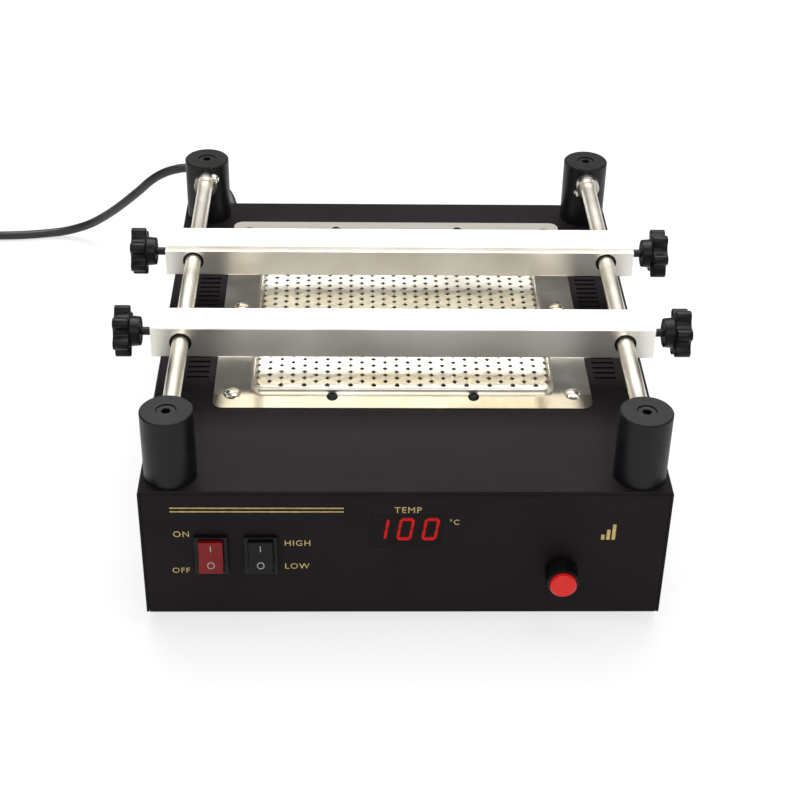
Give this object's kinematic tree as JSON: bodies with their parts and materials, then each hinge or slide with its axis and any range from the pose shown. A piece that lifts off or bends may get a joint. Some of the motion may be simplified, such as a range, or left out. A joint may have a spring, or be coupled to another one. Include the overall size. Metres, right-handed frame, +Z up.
{
  "type": "pcb preheater",
  "caption": "Bench preheater for circuit boards: a sheet-metal box with a radiant heater under an expanded-metal guard, and clamp bars that slide on rods above it.",
  "frame": {"origin": "On the floor under the middle of the object's box, the mains lead left out; the feet stand on z = 0", "axes": "+Z up, the front panel faces -Y, +X to the right of someone who faces the panel"},
  "size_m": [0.471, 0.3859, 0.116],
  "materials": {
    "powder_coat": "fine-textured black powder coat",
    "rubber": "black rubber and PVC",
    "zinc_steel": "zinc-plated steel",
    "black_steel": "black oxide steel",
    "post_plastic": "turned black nylon",
    "chrome": "hard-chromed and polished",
    "stainless": "bright stainless sheet",
    "dark_ceramic": "dark glazed ceramic",
    "fibre_board": "pressed fibre board",
    "circuit_board": "green solder mask",
    "varnished_winding": "varnished laminations and tape",
    "black_anodised": "black anodised",
    "white_nylon": "natural nylon",
    "smoked_window": "dark red clear acrylic",
    "display_plastic": "black display face",
    "black_plastic": "moulded black plastic",
    "red_plastic": "moulded red plastic",
    "potentiometer": "pressed steel can",
    "aluminium": "bright milled aluminium",
    "brass": "plain brass"
  },
  "bodies": {
    "base": {"chassis": "powder_coat", "cover": "powder_coat", "rubber_feet": "rubber", "cord_gland": "rubber", "cord_lead": "rubber", "cord_coil": "rubber", "cord_tail": "rubber", "mains_plug": "rubber", "foot_screws": "zinc_steel", "post_nuts": "zinc_steel", "collar_screws": "zinc_steel", "thermocouple": "zinc_steel", "board_standoffs": "zinc_steel", "cover_screws": "black_steel", "post_screws": "black_steel", "plate_screws": "black_steel", "post_front_left": "post_plastic", "post_front_right": "post_plastic", "post_rear_left": "post_plastic", "post_rear_right": "post_plastic", "guide_rod_left": "chrome", "guide_rod_right": "chrome", "rod_collars": "chrome", "top_plate": "stainless", "plate_rivets": "stainless", "mesh_guard": "stainless", "reflector_tray": "stainless", "emitter_bracket": "stainless", "emitter_clips": "stainless", "emitter_left": "dark_ceramic", "emitter_right": "dark_ceramic", "insulation_board": "fibre_board", "control_board": "circuit_board", "display_board": "circuit_board", "power_transformer": "varnished_winding", "heat_sink": "black_anodised", "terminal_block": "white_nylon", "display_window": "smoked_window", "display_module": "display_plastic", "power_switch_body": "black_plastic", "level_switch_body": "black_plastic", "temp_control": "potentiometer", "plug_pins": "brass"},
    "front_bar": {"front_bar": "aluminium", "front_bar_liners": "black_plastic"},
    "rear_bar": {"rear_bar": "aluminium", "rear_bar_liners": "black_plastic"},
    "power_rocker": {"power_rocker": "red_plastic"},
    "level_rocker": {"level_rocker": "black_plastic"},
    "temp_knob": {"temp_knob": "black_plastic", "temp_knob_cap": "red_plastic", "temp_shaft": "zinc_steel"},
    "stud_front_left": {"stud_front_left": "black_steel"},
    "knob_front_left": {"knob_front_left": "black_plastic"},
    "stud_front_right": {"stud_front_right": "black_steel"},
    "knob_front_right": {"knob_front_right": "black_plastic"},
    "stud_rear_left": {"stud_rear_left": "black_steel"},
    "knob_rear_left": {"knob_rear_left": "black_plastic"},
    "stud_rear_right": {"stud_rear_right": "black_steel"},
    "knob_rear_right": {"knob_rear_right": "black_plastic"}
  },
  "joints": [
    {"name": "front_bar_slide", "type": "slide", "parent": "base", "child": "front_bar", "axis": [0, 1, 0], "range_m": [-0.055, 0.051]},
    {"name": "rear_bar_slide", "type": "slide", "parent": "base", "child": "rear_bar", "axis": [0, 1, 0], "range_m": [-0.051, 0.0605]},
    {"name": "power_rock", "type": "hinge", "parent": "base", "child": "power_rocker", "pos_m": [-0.0883, -0.12725, 0.0415], "axis": [1, 0, 0], "range_deg": [0, 20]},
    {"name": "level_rock", "type": "hinge", "parent": "base", "child": "level_rocker", "pos_m": [-0.0657, -0.12725, 0.0415], "axis": [1, 0, 0], "range_deg": [0, 20]},
    {"name": "temp_turn", "type": "hinge", "parent": "base", "child": "temp_knob", "pos_m": [0.072, -0.12925, 0.0325], "axis": [0, 1, 0], "range_deg": [-140, 140]},
    {"name": "stud_front_left_feed", "type": "slide", "parent": "front_bar", "child": "stud_front_left", "axis": [-1, 0, 0], "range_m": [0, 0.0017]},
    {"name": "knob_front_left_turn", "type": "hinge", "parent": "stud_front_left", "child": "knob_front_left", "pos_m": [-0.1255, -0.03775, 0.1035], "axis": [-1, 0, 0], "range_deg": [0, 720]},
    {"name": "stud_front_right_feed", "type": "slide", "parent": "front_bar", "child": "stud_front_right", "axis": [1, 0, 0], "range_m": [0, 0.0017]},
    {"name": "knob_front_right_turn", "type": "hinge", "parent": "stud_front_right", "child": "knob_front_right", "pos_m": [0.1255, -0.03775, 0.1035], "axis": [1, 0, 0], "range_deg": [0, 720]},
    {"name": "stud_rear_left_feed", "type": "slide", "parent": "rear_bar", "child": "stud_rear_left", "axis": [-1, 0, 0], "range_m": [0, 0.0017]},
    {"name": "knob_rear_left_turn", "type": "hinge", "parent": "stud_rear_left", "child": "knob_rear_left", "pos_m": [-0.1255, 0.03975, 0.1035], "axis": [-1, 0, 0], "range_deg": [0, 720]},
    {"name": "stud_rear_right_feed", "type": "slide", "parent": "rear_bar", "child": "stud_rear_right", "axis": [1, 0, 0], "range_m": [0, 0.0017]},
    {"name": "knob_rear_right_turn", "type": "hinge", "parent": "stud_rear_right", "child": "knob_rear_right", "pos_m": [0.1255, 0.03975, 0.1035], "axis": [1, 0, 0], "range_deg": [0, 720]}
  ],
  "couplings": [
    {"joint": "stud_front_left_feed", "follows": "knob_front_left_turn", "m_per_rad": 0.00012732},
    {"joint": "stud_front_right_feed", "follows": "knob_front_right_turn", "m_per_rad": 0.00012732},
    {"joint": "stud_rear_left_feed", "follows": "knob_rear_left_turn", "m_per_rad": 0.00012732},
    {"joint": "stud_rear_right_feed", "follows": "knob_rear_right_turn", "m_per_rad": 0.00012732}
  ]
}
